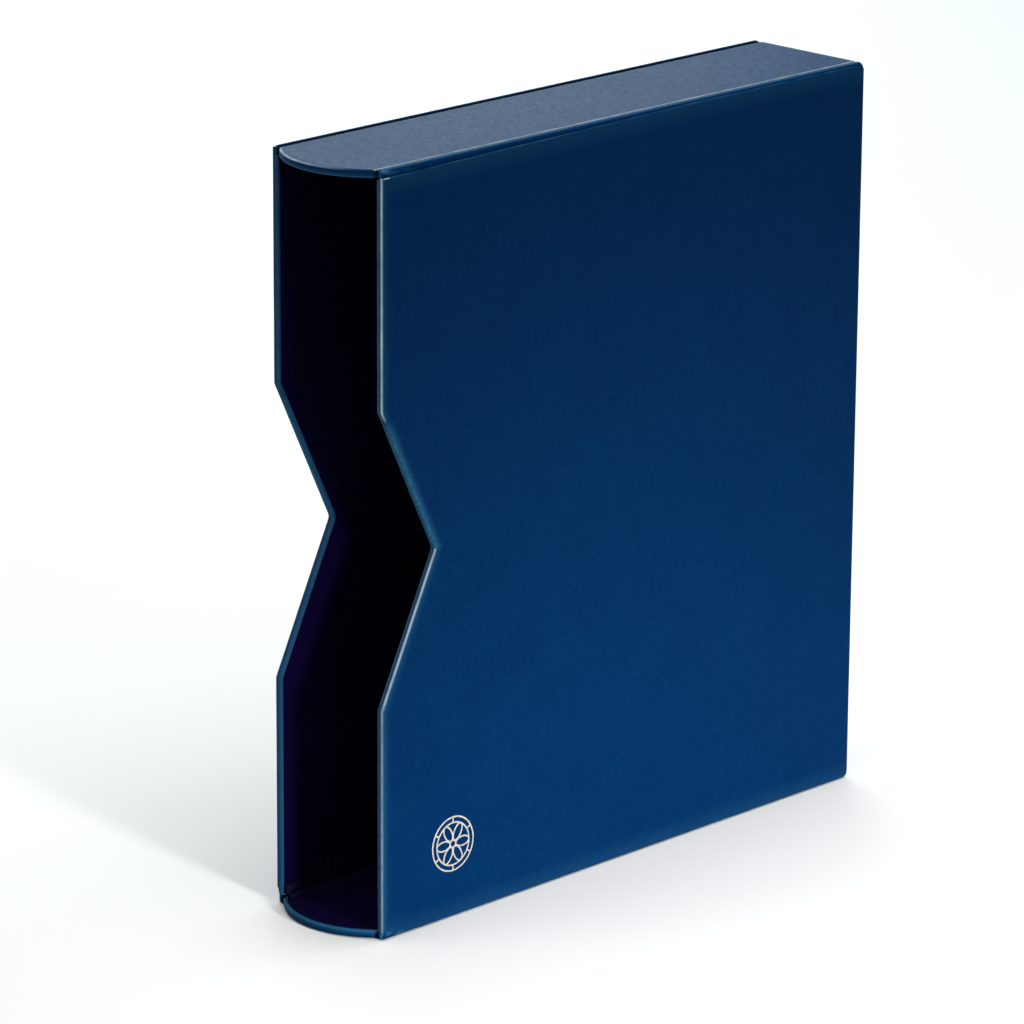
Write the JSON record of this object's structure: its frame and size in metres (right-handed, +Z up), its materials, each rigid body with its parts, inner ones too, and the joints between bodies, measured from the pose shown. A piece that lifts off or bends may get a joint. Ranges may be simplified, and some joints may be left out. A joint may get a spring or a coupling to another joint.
{
  "type": "album slipcase",
  "caption": "Stiff slipcase in blue leatherette for a ring-bound stamp album, open at the front, with bowed lips and V-shaped finger notches in both sides.",
  "frame": {"origin": "on the surface that the case stands on, under the middle of its outline, lips included", "axes": "+X from the left side wall to the right one, through the thickness; -Y out of the open mouth; +Z up along the side walls"},
  "size_m": [0.063, 0.295, 0.32],
  "materials": {
    "leatherette": "satin",
    "grey_board": "matte",
    "lining_paper": "matte",
    "corner_tape": "matte",
    "foil": "satin"
  },
  "bodies": {
    "root": {"right_side_cover": "leatherette", "left_side_cover": "leatherette", "bottom_cover": "leatherette", "back_cover": "leatherette", "top_cover": "leatherette", "right_side_board": "grey_board", "left_side_board": "grey_board", "bottom_board": "grey_board", "top_board": "grey_board", "back_board": "grey_board", "right_lining": "lining_paper", "left_lining": "lining_paper", "bottom_lining": "lining_paper", "top_lining": "lining_paper", "back_lining": "lining_paper", "right_bottom_tape": "corner_tape", "right_top_tape": "corner_tape", "right_back_tape": "corner_tape", "left_bottom_tape": "corner_tape", "left_top_tape": "corner_tape", "left_back_tape": "corner_tape", "bottom_back_tape": "corner_tape", "top_back_tape": "corner_tape", "emblem_foil": "foil"}
  },
  "joints": []
}
